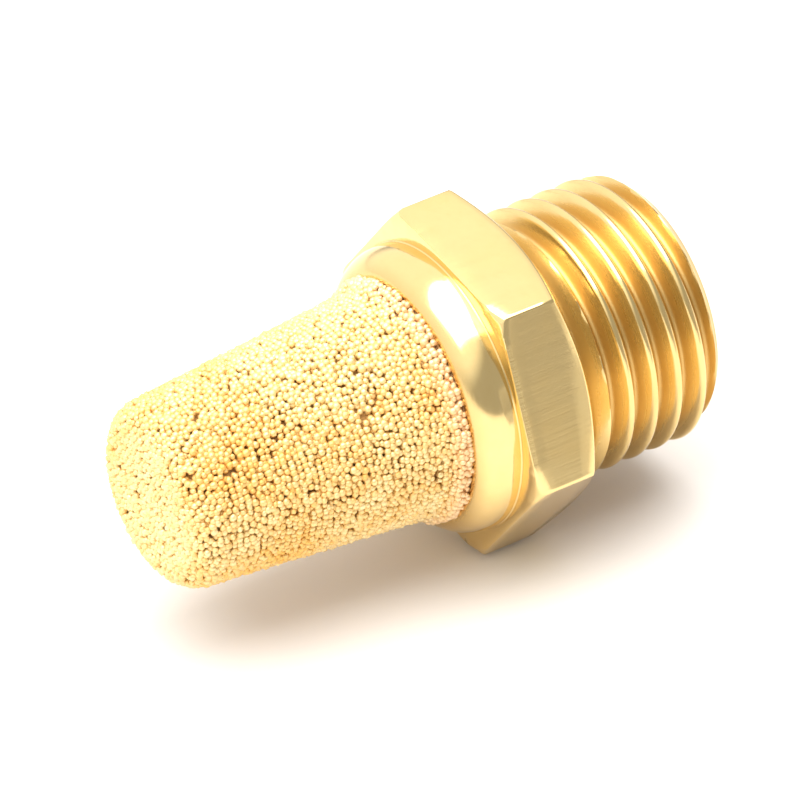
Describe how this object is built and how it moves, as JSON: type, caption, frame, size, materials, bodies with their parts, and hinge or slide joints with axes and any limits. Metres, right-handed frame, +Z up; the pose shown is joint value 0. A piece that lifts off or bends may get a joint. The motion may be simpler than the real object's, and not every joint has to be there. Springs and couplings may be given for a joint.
{
  "type": "pneumatic muffler",
  "caption": "Exhaust muffler for compressed air: hexagonal brass body with a threaded shank and a hollow conical element of sintered bronze held under its rolled lip.",
  "frame": {"origin": "on the muffler's axis, in the port-side face of the hexagon", "axes": "+Y along the axis, the way the threaded shank points; the closed tip points to -Y; +Z up as the part sits in a horizontal port"},
  "size_m": [0.017, 0.0277, 0.0164],
  "materials": {
    "turned_brass": "bright turned and drawn brass",
    "sintered_bronze": "porous sintered bronze grains, matt"
  },
  "bodies": {
    "root": {"brass_body": "turned_brass", "sintered_element": "sintered_bronze"}
  },
  "joints": []
}
